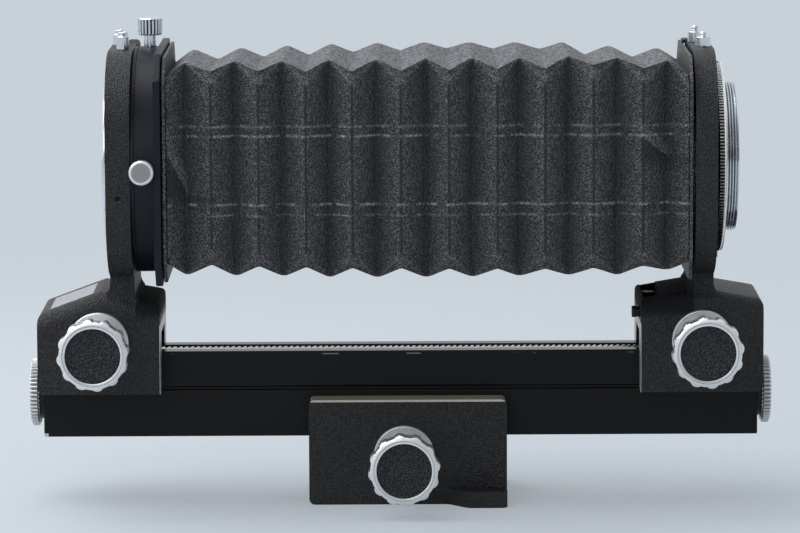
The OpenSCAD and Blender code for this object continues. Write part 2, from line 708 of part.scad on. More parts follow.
// ---- all the pieces --------------------------------------------------------------------------------

tripod_block();
tripod_bush();
block_keeper();
block_gib();
block_knob_bush();
block_pinion();
block_knob();
block_knob_disc();
block_lock_knob();
rail();
top_rack();
bottom_rack();
rail_end_washers();
front_stop_wheel();
rear_stop_wheel();
front_casting();
front_window();
lens_mount_ring();
lens_mount_screws();
mount_grub_screw();
front_release_sockets();
front_shoes();
front_gib();
front_knob_bush();
bellows_carriage();
carriage_plate();
bellows_front_frame();
front_pinion();
front_knob();
front_knob_disc();
front_lock_knob();
top_thumb_screw();
side_lock_screw();
bellows();
rear_casting();
bellows_rear_frame();
rear_shoes();
rear_gib();
rear_knob_bush();
rear_release_barrels();
rear_stop_pin();
rear_corner_screw();
rear_pinion();
rear_knob();
rear_knob_disc();
rear_lock_knob();
knurled_lock_ring();
camera_mount();
camera_mount_retainer();
near_release_plunger();
far_release_plunger();
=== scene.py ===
import json
import math

import bmesh
import bpy
import numpy as np
from mathutils import Matrix


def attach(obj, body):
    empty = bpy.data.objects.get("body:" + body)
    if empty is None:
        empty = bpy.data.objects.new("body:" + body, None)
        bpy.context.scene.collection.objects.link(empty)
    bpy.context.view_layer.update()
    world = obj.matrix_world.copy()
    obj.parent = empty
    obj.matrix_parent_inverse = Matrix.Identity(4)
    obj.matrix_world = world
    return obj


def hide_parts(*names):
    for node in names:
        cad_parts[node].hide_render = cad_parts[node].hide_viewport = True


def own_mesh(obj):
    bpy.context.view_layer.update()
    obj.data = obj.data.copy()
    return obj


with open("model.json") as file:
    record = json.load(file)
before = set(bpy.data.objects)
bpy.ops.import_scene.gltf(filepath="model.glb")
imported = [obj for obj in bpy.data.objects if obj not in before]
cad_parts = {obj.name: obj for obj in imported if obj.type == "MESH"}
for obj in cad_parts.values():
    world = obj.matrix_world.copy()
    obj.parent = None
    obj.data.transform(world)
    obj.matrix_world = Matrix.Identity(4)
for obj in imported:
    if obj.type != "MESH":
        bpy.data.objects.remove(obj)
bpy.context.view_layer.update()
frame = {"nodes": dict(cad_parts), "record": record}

# ---- The view ----------------------------------------------------------------------------------
# A long lens 1.24 m from the bellows and eight degrees above the rail, as in the photograph. The
# unit stands on a pale blue-grey sheet, under a wide soft lamp, with a weaker one from the front.
tilt, turn, reach, aim = math.radians(8), math.radians(0.27), 1.24, 0.065085
across, rise = np.array([1.0, 0, 0]), np.array([0, math.sin(tilt), math.cos(tilt)])
toward = np.array([0, -math.cos(tilt), math.sin(tilt)])
view = bpy.data.cameras.new("view")
view.lens, view.sensor_width, view.clip_start, view.clip_end = 198.0, 36.0, 0.05, 30.0
view_obj = bpy.data.objects.new("view", view)
bpy.context.collection.objects.link(view_obj)
place = np.eye(4)
place[:3, 0] = math.cos(turn) * across - math.sin(turn) * rise
place[:3, 1] = math.sin(turn) * across + math.cos(turn) * rise
place[:3, 2] = toward
place[:3, 3] = toward * reach + np.array([0, 0, aim])
view_obj.matrix_world = Matrix(place.tolist())
bpy.context.scene.camera = view_obj
bpy.context.scene.view_settings.view_transform = "Standard"


class Sock:
    """A shader value. The operators + - * and / add Math nodes."""

    def __init__(self, tree, out):
        self.tree, self.out = tree, out

    def math(self, op, *others):
        """A Math node of this value and of other values or numbers."""
        node = self.tree.nodes.new("ShaderNodeMath")
        node.operation = op
        for i, v in enumerate((self,) + others):
            if isinstance(v, Sock):
                self.tree.links.new(v.out, node.inputs[i])
            else:
                node.inputs[i].default_value = v
        return Sock(self.tree, node.outputs[0])

    def __add__(self, o):
        return self.math("ADD", o)

    def __sub__(self, o):
        return self.math("SUBTRACT", o)

    def __mul__(self, o):
        return self.math("MULTIPLY", o)

    def __truediv__(self, o):
        return self.math("DIVIDE", o)

    def __rsub__(self, o):
        return (self * -1.0) + o

    __radd__ = __add__

    def step(self, low, high):
        """0 below low, 1 above high, and a smooth slope between them."""
        node = self.tree.nodes.new("ShaderNodeMapRange")
        node.interpolation_type = "SMOOTHSTEP"
        self.tree.links.new(self.out, node.inputs["Value"])
        node.inputs["From Min"].default_value, node.inputs["From Max"].default_value = low, high
        return Sock(self.tree, node.outputs["Result"])


class Finish:
    """A material in the making: one Principled shader fed by nodes on Object coordinates."""

    def __init__(self, name, **fixed):
        self.material = bpy.data.materials.new(name)
        self.material.use_nodes = True
        self.tree = self.material.node_tree
        self.tree.nodes.clear()
        self.shader = self.tree.nodes.new("ShaderNodeBsdfPrincipled")
        self.end = self.tree.nodes.new("ShaderNodeOutputMaterial")
        self.tree.links.new(self.shader.outputs[0], self.end.inputs[0])
        self.place = self.node("ShaderNodeTexCoord").outputs["Object"]
        parts = self.node("ShaderNodeSeparateXYZ", {}, {"Vector": self.place})
        self.x, self.y, self.z = (Sock(self.tree, parts.outputs[i]) for i in range(3))
        self.set(**{k.replace("_", " "): v for k, v in fixed.items()})

    def node(self, kind, settings=None, values=None):
        """Any node: its type, its settings, then the values or links of its sockets."""
        node = self.tree.nodes.new(kind)
        for k, v in (settings or {}).items():
            setattr(node, k, v)
        for k, v in (values or {}).items():
            out = v.out if isinstance(v, Sock) else v
            if isinstance(out, bpy.types.NodeSocket):
                self.tree.links.new(out, node.inputs[k])
            else:
                node.inputs[k].default_value = out
        return node

    def set(self, **values):
        """The shader's own inputs, as values or links."""
        for k, v in values.items():
            out = v.out if isinstance(v, Sock) else v
            if isinstance(out, bpy.types.NodeSocket):
                self.tree.links.new(out, self.shader.inputs[k])
            else:
                self.shader.inputs[k].default_value = out

    def stretched(self, sx, sy, sz):
        """The place of a point with each of its parts multiplied, so that a pattern gets drawn out."""
        return self.node("ShaderNodeVectorMath", {"operation": "MULTIPLY"},
                         {0: self.place, 1: (sx, sy, sz)}).outputs[0]

    def noise(self, scale, detail=3.0, rough=0.55, at=None):
        """Cloudy noise from 0 to 1, with about as many waves in a metre as the scale says."""
        node = self.node("ShaderNodeTexNoise", {}, {"Vector": at or self.place, "Scale": scale,
                                                    "Detail": detail, "Roughness": rough})
        return Sock(self.tree, node.outputs["Fac"])

    def cells(self, scale):
        """Rounded cells, as many in a metre as the scale says: 0 in the middle of each."""
        node = self.node("ShaderNodeTexVoronoi", {"feature": "SMOOTH_F1"},
                         {"Vector": self.place, "Scale": scale})
        return Sock(self.tree, node.outputs["Distance"])

    def attribute(self, name):
        """What the mesh says at a point under this name."""
        node = self.node("ShaderNodeAttribute", {"attribute_name": name})
        return Sock(self.tree, node.outputs["Fac"])

    def mix(self, share, a, b):
        """Colour a where share is 0 and b where it is 1."""
        node = self.node("ShaderNodeMix", {"data_type": "RGBA"}, {0: share})
        for i, v in ((6, a), (7, b)):
            if isinstance(v, bpy.types.NodeSocket):
                self.tree.links.new(v, node.inputs[i])
            else:
                node.inputs[i].default_value = (*v, 1)
        return node.outputs[2]

    def bump(self, height, depth):
        """Normals of a surface raised by height (0 to 1) times depth, in metres."""
        values = {"Height": height, "Distance": depth, "Strength": 1.0}
        return self.node("ShaderNodeBump", {}, values).outputs[0]


world = bpy.data.worlds.new("studio")
world.use_nodes = True
bpy.context.scene.world = world
sky = world.node_tree
sky_parts = sky.nodes.new("ShaderNodeSeparateXYZ")
sky.links.new(sky.nodes.new("ShaderNodeTexCoord").outputs["Generated"], sky_parts.inputs[0])
toward_viewer = Sock(sky, sky_parts.outputs["Y"]) * -1
leftward = Sock(sky, sky_parts.outputs["X"]) * -1
upward = Sock(sky, sky_parts.outputs["Z"])
# dimmer on the viewer's side, so that the black faces stay dark, and brighter at left and above
glow = 0.74 + leftward * 0.16 - toward_viewer.step(0.10, 0.90) * 0.54 + upward.step(0.1, 0.9) * 0.12
sky.links.new(glow.out, sky.nodes["Background"].inputs["Strength"])
sky.nodes["Background"].inputs["Color"].default_value = (0.93, 0.965, 1.0, 1)


def lamp(name, at, look_at, size, watts):
    """A rectangular soft lamp at a point, facing another."""
    data = bpy.data.lights.new(name, "AREA")
    data.shape, data.size, data.size_y, data.energy = "RECTANGLE", size[0], size[1], watts
    obj = bpy.data.objects.new(name, data)
    back = np.array(at, float) - np.array(look_at, float)
    back /= np.linalg.norm(back)
    side = np.cross([0, 1, 0.001], back)
    side /= np.linalg.norm(side)
    m = np.eye(4)
    m[:3, 0], m[:3, 1], m[:3, 2], m[:3, 3] = side, np.cross(back, side), back, at
    obj.matrix_world = Matrix(m.tolist())
    bpy.context.collection.objects.link(obj)


lamp("top_lamp", (-0.50, 0.10, 0.90), (0, 0, 0.08), (1.1, 0.7), 8.5)
lamp("front_lamp", (-0.45, -1.15, 0.70), (0, 0, 0.08), (1.0, 0.8), 4.2)

sheet_look = Finish("pale_sheet", Roughness=0.75, Specular_IOR_Level=0.2)
sheet_look.set(**{"Base Color": sheet_look.mix(sheet_look.noise(6) * 0.5, (0.53, 0.575, 0.62),
                                               (0.50, 0.545, 0.59))})
# what the camera or a mirror sees of the sheet fades outward into one even tone
light_path = sheet_look.node("ShaderNodeLightPath")
seen = Sock(sheet_look.tree, light_path.outputs["Is Camera Ray"])
for kind in ("Is Glossy Ray", "Is Transmission Ray"):
    seen = seen + Sock(sheet_look.tree, light_path.outputs[kind])
away = (sheet_look.x * sheet_look.x + sheet_look.y * sheet_look.y).math("SQRT").step(0.20, 0.60)
pale = sheet_look.node("ShaderNodeEmission", {}, {"Color": (0.583, 0.634, 0.685, 1), "Strength": 1.0})
both = sheet_look.node("ShaderNodeMixShader", {}, {0: seen.math("MINIMUM", 1.0) * (0.45 + away * 0.55)})
sheet_look.tree.links.new(sheet_look.shader.outputs[0], both.inputs[1])
sheet_look.tree.links.new(pale.outputs[0], both.inputs[2])
sheet_look.tree.links.new(both.outputs[0], sheet_look.end.inputs[0])
floor_mesh = bpy.data.meshes.new("floor")
floor_mesh.from_pydata([(-12, -12, 0), (12, -12, 0), (12, 12, 0), (-12, 12, 0)], [], [(0, 1, 2, 3)])
floor = bpy.data.objects.new("floor", floor_mesh)
floor.data.materials.append(sheet_look.material)
bpy.context.collection.objects.link(floor)

# ---- Tripod block ------------------------------------------------------------------------------
# An aluminium casting with a flared foot, in black crackle paint. Its top faces were machined after
# the painting, and have kept a dull khaki metal finish that wraps their rounded ends.
pool = frame["nodes"]
body_of = {n: b for b, ns in frame["record"]["behaviour"]["bodies"].items() for n in ns}


def dressed(node, look, edge=0.0, rounds=2):
    """A CAD node's own solid as a finished piece: triangles merged, flat ones joined, and each
    edge of more than 35 degrees rounded over the width edge, in so many rounds."""
    flat, sharp = math.radians(0.3), math.radians(35)
    obj = bpy.data.objects.new(node + "_piece", pool[node].data.copy())
    bm = bmesh.new()
    bm.from_mesh(obj.data)
    bmesh.ops.remove_doubles(bm, verts=bm.verts, dist=2e-6)
    bmesh.ops.dissolve_limit(bm, angle_limit=flat, verts=bm.verts, edges=bm.edges)
    bm.to_mesh(obj.data)
    bm.free()
    obj.data.shade_smooth()
    obj.data.set_sharp_from_angle(angle=sharp)
    obj.data.materials.clear()
    obj.data.materials.append(look.material)
    bpy.context.collection.objects.link(obj)
    if edge:
        b = obj.modifiers.new("edges", "BEVEL")
        b.width, b.segments, b.limit_method, b.angle_limit = edge, rounds, "ANGLE", sharp
        b.harden_normals, b.use_clamp_overlap = True, True
    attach(obj, body_of[node])
    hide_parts(node)


def crackle(name, machined=None, metal=((0.5, 0.5, 0.5), (0.6, 0.6, 0.6)), metallic=0.9, matt_and_shaded_x=None):
    """Crackle paint: black, with wrinkles about half a millimetre wide and finer grain in them.
    Where machined(look) is 1 the paint is cut away, and the metal's two colours show in streaks.
    Between the two places of the last argument along the rail, above the knobs, the paint is rougher,
    and its colour is darkened there as painted shade."""
    look = Finish(name, Specular_IOR_Level=0.32)
    wrinkle = look.noise(1900, 2, 0.6)
    blister = look.cells(2400)
    height = wrinkle * 0.8 - blister * 0.7
    colour = look.mix(wrinkle.step(0.38, 0.66), (0.0085, 0.0085, 0.0095), (0.029, 0.029, 0.032))
    rough = wrinkle * 0.25 + 0.32
    if matt_and_shaded_x is not None:
        (x0, x1), fade = matt_and_shaded_x, 0.0006
        matt_and_shaded = look.x.step(x0, x0 + fade) * (1 - look.x.step(x1, x1 + fade))
        matt_and_shaded = matt_and_shaded * look.z.step(0.052, 0.055) * (1 - look.z.step(0.062, 0.064))
        rough = rough + matt_and_shaded * 0.55
        # painted shade: the colour is darkened where the paint is rougher
        colour = look.mix(matt_and_shaded * 0.5, colour, (0.004, 0.004, 0.0045))
    if machined is not None:
        bare = machined(look)
        lines = look.noise(60, 3, at=look.stretched(1, 25, 1))
        colour = look.mix(bare, colour, look.mix(lines, *metal))
        height = height * (1 - bare * 0.95)
        look.set(Metallic=bare * metallic)
    look.set(**{"Base Color": colour, "Roughness": rough, "Normal": look.bump(height, 0.0005)})
    return look


block_look = crackle("block_paint_and_khaki", lambda look: look.z.step(0.02905, 0.02915),
                     ((0.44, 0.425, 0.345), (0.62, 0.60, 0.50)), 0.5)
dressed("tripod_block", block_look, 0.0005, 3)


def marked(name, scale, dark, light, rough, varies, detail=3, stretch=(1, 1, 1), depth=0, **fixed):
    """A plain finish whose colour, roughness and, where depth is given, relief follow one noise.
    The roughness runs from rough up to rough and varies together."""
    look = Finish(name, **fixed)
    marks = look.noise(scale, detail, at=look.stretched(*stretch))
    look.set(**{"Base Color": look.mix(marks, dark, light), "Roughness": marks * varies + rough})
    if depth:
        look.set(Normal=look.bump(marks, depth))
    return look


steel = marked("ground_steel", 900, (0.42, 0.42, 0.43), (0.62, 0.62, 0.63), 0.25, 0.2,
               stretch=(1, 0.05, 1), depth=0.00001, Metallic=1.0)
bronze = marked("bronze", 500, (0.42, 0.27, 0.10), (0.62, 0.44, 0.20), 0.3, 0.3, 4, Metallic=1.0)
dressed("tripod_bush", steel, 0.0002)
dressed("block_keeper", steel, 0.0001)
dressed("block_gib", bronze, 0.0001)

# ---- Focusing knobs ----------------------------------------------------------------------------
# Turned aluminium grips with twelve lobes, a bright chamfer at both ends of the lobes and a groove
# round the face. A pebbled black disc is glued in the face. The grip is pinned to its pinion shaft.


def metal(name, dull, bright, rough, metallic, painted_shade_at=None):
    """Turned metal with fine lines. Where the attribute shade is 1, in the bottoms of grooves, and
    where the function given as the last argument returns 1, its colour is darkened as painted shade."""
    look = Finish(name, Metallic=metallic)
    lines = look.noise(1500, 2, at=look.stretched(0.4, 1, 0.4))
    painted_shade = look.attribute("shade")
    if painted_shade_at is not None:
        painted_shade = painted_shade + painted_shade_at(look)
    # the dark colour is painted shade
    colour = look.mix(painted_shade.math("MINIMUM", 1.0), look.mix(lines, dull, bright), (0.012, 0.013, 0.015))
    look.set(**{"Base Color": colour, "Roughness": lines * 0.16 + rough + painted_shade * 0.15,
                "Normal": look.bump(lines, 0.000006)})
    return look


silver = metal("satin_silver", (0.74, 0.745, 0.755), (0.90, 0.905, 0.915), 0.24, 0.8)


def surface(name, points, look, body, slot, attributes, wrap_rows=False, sharp=30):
    """A piece from a grid of points (rows, columns, 3), whose columns close into rings. Each cell
    of the grid is a face, points that meet are merged, and each attribute has a value per point."""
    rows, cols = points.shape[:2]
    i = np.arange(rows if wrap_rows else rows - 1)[:, None]
    j = np.arange(cols)[None, :]
    i2, j2 = (i + 1) % rows, (j + 1) % cols
    faces = np.stack([i * cols + j, i * cols + j2, i2 * cols + j2, i2 * cols + j], -1).reshape(-1, 4)
    mesh = bpy.data.meshes.new(name)
    mesh.from_pydata(points.reshape(-1, 3).tolist(), [], faces.tolist())
    for attribute, values in attributes.items():
        mesh.attributes.new(attribute, "FLOAT", "POINT").data.foreach_set("value", values.reshape(-1))
    bm = bmesh.new()
    bm.from_mesh(mesh)
    bmesh.ops.remove_doubles(bm, verts=bm.verts, dist=1e-6)
    bmesh.ops.dissolve_degenerate(bm, edges=bm.edges, dist=1e-6)
    bm.to_mesh(mesh)
    bm.free()
    mesh.shade_smooth()
    mesh.set_sharp_from_angle(angle=math.radians(sharp))
    mesh.materials.append(look.material)
    obj = bpy.data.objects.new(name, mesh)
    bpy.context.collection.objects.link(obj)
    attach(obj, body)
    return obj


def turned(name, start, axis, profile, look, body, slot, radius=None, around=192, painted_shade=(1, 0), **more):
    """A turned piece. Each (distance, radius) of the profile, in mm, is a ring about the axis, and
    radius(angles, distances, radii) may change the radii, for lobes or knurling. The attribute shade,
    painted shade for metal(), is the third number of a profile point, or the painted shade argument's
    second number where the change is as deep as its first."""
    d = np.array(axis, float)
    u = np.array([0, 0, 1.0]) if abs(d[2]) < 0.5 else np.array([1.0, 0, 0])
    v = np.cross(d, u)
    p = np.array([(*q, 0.0)[:3] for q in profile], float)
    angle = np.arange(around)[None, :] * 2 * math.pi / around
    r = np.broadcast_to(p[:, 1:2], (len(p), around))
    if radius is not None:
        r = radius(angle, p[:, 0:1], r)
    ring = np.cos(angle)[..., None] * u + np.sin(angle)[..., None] * v
    pts = np.array(start) + (p[:, 0][:, None, None] * d + r[..., None] * ring)
    shade = np.maximum(p[:, 2:3], np.clip((p[:, 1:2] - r) / painted_shade[0], 0, 1) * painted_shade[1])
    return surface(name, pts / 1000, look, body, slot, {"shade": shade}, **more)


def lobes(angle, along, r):
    """The smaller of the profile's radius and the lobed outline: a circle of 9.3, or where it
    stands further out, one of twelve circles of radius 1.7 centred 8.3 from the axis."""
    turned_by, half_lobe, lobe_r, centre_r, between_r = 0.14, math.pi / 12, 1.7, 8.3, 9.3
    phi = (angle - turned_by + half_lobe) % (2 * half_lobe) - half_lobe
    inside = np.clip(lobe_r ** 2 - (centre_r * np.sin(phi)) ** 2, 0, None)
    lobed = np.maximum(between_r, centre_r * np.cos(phi) + np.sqrt(inside))
    return np.where(r > 9.0, np.minimum(r, lobed), r)


pebble = Finish("pebbled_black", Specular_IOR_Level=0.4)
pebble_cells = pebble.cells(2200)
pebble_fine = pebble.noise(2600, 3)
pebble.set(**{"Base Color": pebble.mix(pebble_cells.step(0.20, 0.50), (0.042, 0.045, 0.054),
                                       (0.003, 0.0033, 0.005)),
              "Roughness": pebble_fine * 0.2 + 0.28,
              "Normal": pebble.bump((1 - pebble_cells) + pebble_fine * 0.2, 0.0010)})

# third numbers: painted shade on the back of the grip, the flanks of the lobes, the groove round the
# face and the seat of the disc
grip_profile = [(0, 3.5), (0, 7.7, 0.3), (0.2, 8.1, 0.4), (0.5, 8.3, 0.4), (1.7, 8.4, 0.4),
                (1.9, 8.8, 0.1), (2.3, 9.35), (2.7, 9.8, 0.3), (3.1, 10.05, 0.5), (3.5, 10.1, 0.55),
                (4.5, 10.1, 0.55), (5.5, 10.1, 0.55), (6.3, 10.1, 0.5), (6.7, 10.0, 0.2), (7.1, 9.75),
                (7.45, 9.45), (7.75, 9.05), (7.9, 8.85), (8.0, 8.7), (8.0, 8.45), (7.8, 8.4, 0.35),
                (7.8, 8.28, 0.35), (8.0, 8.22), (8.0, 7.75), (7.93, 7.62, 0.3), (7.2, 7.58, 0.6),
                (7.2, 0)]
neck_profile = [(-12.7, 0), (-12.7, 4.3), (-12.4, 4.6), (0, 4.6), (0, 0)]
flange, neck_length = 2, 15
for knob, x, z, wall in (("front", -84.1, 46.5, -17.0), ("rear", 84.1, 46.5, -17.0),
                         ("block", 0.9, 14.05, -16.0)):
    body = body_of[knob + "_knob"]
    grip_start = (x, wall - flange - neck_length, z)
    grip = turned(knob + "_grip", grip_start, (0, -1, 0), [(0, 0)] + grip_profile, silver, body,
                  "satin_silver", lobes, 360)
    neck = turned(knob + "_neck", grip_start, (0, -1, 0), neck_profile, silver, body, "satin_silver")
    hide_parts(knob + "_knob")
    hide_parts(knob + "_knob")
    dressed(knob + "_knob_disc", pebble, 0.00015)
    dressed(knob + "_pinion", steel)
    dressed(knob + "_knob_bush", silver, 0.0003)

# ---- Clamp knobs on the far side ---------------------------------------------------------------
# Small knurled knobs whose studs press a bronze pad against the rail. They turn by hand.
for knob in ("block", "front", "rear"):
    dressed(knob + "_lock_knob", silver, 0.00008, 1)

# ---- Rail --------------------------------------------------------------------------------------
# Square aluminium bar, anodised black, with a channel in its top and underside for the racks. The
# long edges are worn to bare metal in places, and one bottom corner has been knocked bright.
anodised = Finish("black_anodised", Specular_IOR_Level=0.22)
streak = anodised.noise(300, 3, at=anodised.stretched(0.02, 1, 1))
haze = anodised.noise(45, 4)
scuff = anodised.noise(420, 3, 0.6, at=anodised.stretched(0.35, 1, 1)).step(0.60, 0.72)


def about(value, middle, width):
    """1 where the value is less than the width away from the middle, and 0 elsewhere."""
    return (value - middle).math("ABSOLUTE").math("LESS_THAN", width)


edge_band = about(anodised.z, 0.0417, 0.00016)
near_edge = anodised.y.math("LESS_THAN", -0.0084)
marks = about(anodised.x, -0.0196, 0.0023) + about(anodised.x, 0.0037, 0.0020)
worn = (scuff * 0.35 + marks * 0.3) * edge_band * near_edge
nick = about(anodised.x, -0.1003, 0.0012) * about(anodised.z, 0.0183, 0.0010)
bare = (worn + nick).math("MINIMUM", 1.0)
upper_face = anodised.z.step(0.04235, 0.04245)
anodised.set(**{"Base Color": anodised.mix(bare, (0.0026, 0.0028, 0.0034), (0.62, 0.62, 0.60)),
                "Metallic": bare,
                "Roughness": (streak * 0.14 + haze * 0.10 + 0.30) * (1 - upper_face * 0.55),
                "Normal": anodised.bump(streak, 0.000012)})
dressed("rail", anodised, 0.00035)
teeth = marked("rack_steel", 700, (0.62, 0.63, 0.64), (0.85, 0.86, 0.87), 0.22, 0.25, Metallic=1.0)
dressed("top_rack", teeth)
dressed("bottom_rack", teeth)
oxide = marked("dark_oxide", 900, (0.012, 0.012, 0.013), (0.035, 0.035, 0.037), 0.35, 0.2,
               Metallic=0.7)
dressed("rail_end_washers", oxide, 0.0001)

# End wheels: knurled aluminium discs that stop the standards, each with its own screw.


def knurl(count, depth, low, high, narrow=1.0):
    """Fine straight ridges: depth times a wave of count ridges round the rim, only between the
    distances low and high along the axis. The wave's power narrow makes the grooves narrower."""
    def radius(angle, along, r):
        on = ((along > low) & (along < high)) * 1.0
        return r - on * depth * (0.5 - 0.5 * np.cos(count * angle)) ** narrow
    return radius


# third numbers: painted shade on the knurled rim; the wheel's last argument adds painted shade in the
# knurl's grooves
wheel_profile = [(-10.2, 0), (-10.2, 2.3), (-10.0, 2.5), (0, 2.5), (0, 8.6), (0.3, 9.1),
                 (0.5, 9.5, 0.3), (1.0, 9.5, 0.3), (1.6, 9.5, 0.3), (2.1, 9.5, 0.2), (2.3, 9.1),
                 (2.6, 8.6), (2.6, 7.0), (2.45, 6.8), (2.45, 0)]
rail_end, rail_middle_z = 101.6, 29.8
for end, side in (("front", -1), ("rear", 1)):
    wheel = turned(end + "_end_wheel", (side * rail_end, 0, rail_middle_z), (side, 0, 0),
                   wheel_profile, silver, body_of[end + "_stop_wheel"], "satin_silver",
                   knurl(50, 0.45, 0.2, 2.4), 500, (0.45, 0.75))
    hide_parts(end + "_stop_wheel")

# ---- Front standard ----------------------------------------------------------------------------
# Base and upright are one aluminium casting in black crackle paint. A blank plate is let into the
# sloping top, bronze pads carry the base on the rail, and a gib takes up the play.


def end_face(side):
    """The part of a base's inner end that was milled after painting: its lower half, for the
    front standard (side -1) or the rear one (side 1)."""
    def machined(look):
        inner = 1 - (look.x * side).step(0.0671, 0.0672)
        return inner * (1 - look.z.step(0.0510, 0.0513))
    return machined


front_paint = crackle("front_crackle_paint", end_face(-1), matt_and_shaded_x=(-0.0740, -0.0600))
rear_paint = crackle("rear_crackle_paint", end_face(1), matt_and_shaded_x=(0.0600, 0.0815))
dressed("front_casting", front_paint, 0.0009, 3)
plate = marked("pale_plate", 700, (0.31, 0.325, 0.35), (0.45, 0.465, 0.50), 0.25, 0.15,
               stretch=(1, 0.08, 1), Metallic=0.6)
dressed("front_window", plate, 0.00015)
chrome = metal("bright_chrome", (0.70, 0.73, 0.77), (0.82, 0.85, 0.89), 0.08, 1.0)
dressed("lens_mount_ring", chrome, 0.00015)
dressed("lens_mount_screws", chrome, 0.0001)
dressed("mount_grub_screw", oxide)
dressed("front_release_sockets", chrome, 0.0002)
dressed("front_shoes", bronze, 0.0001)
dressed("front_gib", bronze, 0.0001)

# ---- Carriage and its plates -------------------------------------------------------------------
# The bellows ends in a round carriage that seats in the front upright and is held by two screws. A
# square plate and the bellows' own frame are screwed to it. All are turned or milled, and black.
satin = marked("satin_black", 260, (0.008, 0.010, 0.0145), (0.014, 0.0175, 0.0245), 0.34, 0.12,
               stretch=(1, 0.3, 1), Specular_IOR_Level=0.16)
dressed("bellows_carriage", satin, 0.0004)
dressed("carriage_plate", satin, 0.0003)


def folded_under(look, x0, z0, x1, z1, x2):
    """Where the near side's leather is tucked in near an end of the bellows: a slanting fold from
    (x0, z0) down to (x1, z1), and a level one on to x2. The result is the shaded part below the
    fold and the lit edge along it."""
    run, fall = x1 - x0, z0 - z1
    length = math.hypot(run, fall)
    slant = ((look.x - x0) * fall + (look.z - z0) * run) / length
    near = look.y.math("LESS_THAN", -0.02)
    span = look.x.step(x0 - 0.0002, x0) * (1 - look.x.step(x2, x2 + 0.0003))
    level = look.z.step(z1 - 0.0002, z1 + 0.0002)
    left = 1 - look.x.step(x1 - 0.0002, x1)
    band = near * span * look.z.step(z1 - 0.0045, z1 - 0.0005) * (1 - level)
    below = near * span * level * left * (1 - slant.step(-0.0003, 0.0))
    below = below * (1 - look.z.step(z0 - 0.0005, z0))
    edge = near * span * level * left
    edge = edge * slant.step(-0.0001, 0.0002) * (1 - slant.step(0.0012, 0.0035))
    return (below + band * 0.7).math("MINIMUM", 1.0), edge


def leather(name, folded):
    """Thin black leather with pebbled grain about 0.6 mm across, its raised specks lightened as painted
    glints. Folded leather gets painted shade in its side valleys, where the attribute ridge is 0, and
    in a line along each crease, where from_crease is 0; painted sheen in flecks on the top and bottom,
    where crown is 1; and is rubbed where wear is 1 and along four level creases. Near its two ends
    it is tucked in, with painted shade below each fold and a painted highlight along it."""
    look = Finish(name)
    grain = look.cells(2500)
    worms = look.noise(2200, 2, 0.55)
    broad = look.noise(120, 4, 0.6)
    height = worms * 0.9 - grain * 0.6
    # the raised specks of the grain are lightened as painted glints
    painted_glint = worms.step(0.45, 0.62)
    colour = look.mix(painted_glint, (0.016, 0.0162, 0.0178), (0.138, 0.140, 0.148))
    if folded:
        ridge, wear, crown, from_crease = (look.attribute(k) for k in ("ridge", "wear", "crown",
                                                                       "from_crease"))
        streaks = look.noise(260, 3, 0.65, at=look.stretched(1.0, 1.0, 0.4)).step(0.40, 0.62)
        level_creases = ((0.10795, 0.0006, 0.8), (0.1053, 0.00055, 1.4), (0.08635, 0.0006, 1.35),
                         (0.0834, 0.00055, 0.7))
        for z, width, strength in level_creases:
            band = 1 - (look.z - z).math("ABSOLUTE").step(0.0, width)
            wear = wear + band * streaks * strength
        worn = (wear * (painted_glint * 0.6 + 0.3)).math("MINIMUM", 1.0)
        # painted shade in the sides' valleys, where the attribute ridge is 0
        fold_painted_shade = look.mix(painted_glint, (0.0095, 0.0095, 0.0105), (0.052, 0.052, 0.057))
        colour = look.mix(ridge, fold_painted_shade, colour)
        # tucks near the two ends: painted shade below each fold and a painted highlight along it
        front_shade, front_edge = folded_under(look, -0.0641, 0.1017, -0.0583, 0.0888, -0.0505)
        rear_shade, rear_edge = folded_under(look, 0.0662, 0.1050, 0.0737, 0.0992, 0.0798)
        shaded, lit = front_shade + rear_shade, front_edge + rear_edge
        # painted shade: near black below the tucks and in a thin line along each crest's crease
        crease = (1 - from_crease.step(0.02, 0.085)) * 0.95
        dark = (shaded * 0.75 + crease).math("MINIMUM", 0.95)
        colour = look.mix(dark, colour, (0.004, 0.004, 0.0045))
        # painted highlight along the tucks' folds
        colour = look.mix(lit * (painted_glint * 0.50 + 0.08), colour, (0.22, 0.225, 0.235))
        # painted sheen: pale bluish flecks on the top and bottom faces, where crown is 1
        flecks = look.noise(1100, 3, 0.7, at=look.stretched(1, 0.22, 1)).step(0.40, 0.60)
        painted_sheen = look.mix(flecks, (0.004, 0.0047, 0.0066), (0.140, 0.152, 0.168))
        colour = look.mix(crown, colour, painted_sheen)
        colour = look.mix(worn, colour, (0.36, 0.37, 0.38))
    look.set(**{"Base Color": colour, "Roughness": worms * 0.22 + broad * 0.10 + 0.28,
                "Normal": look.bump(height, 0.00065)})
    return look


hide = leather("bellows_leather", True)
plain_hide = leather("frame_leather", False)
dressed("bellows_front_frame", plain_hide, 0.0004)

# Screws on the carriage: a tall knurled one on top and a flat one on the near side.
lens_axis_z = 96
thumb_profile = [(-5.5, 0), (-5.5, 1.4), (0, 1.45), (0.05, 1.68), (3.3, 1.68), (3.3, 3.0), (3.45, 3.3),
                 (3.6, 3.42), (3.7, 3.45), (4.1, 3.45), (4.8, 3.45), (5.6, 3.45), (6.5, 3.45),
                 (7.2, 3.45), (7.7, 3.45), (7.8, 3.42), (8.0, 3.25), (8.1, 3.1), (8.1, 0)]
# the last argument paints shade into the knurl's grooves
thumb = turned("top_screw", (-69.6, 0, 127.6), (0, 0, 1), thumb_profile, chrome,
               body_of["top_thumb_screw"], "bright_chrome", knurl(20, 0.5, 3.65, 7.75, 2.5), 400,
               (0.5, 0.9))
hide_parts("top_thumb_screw")
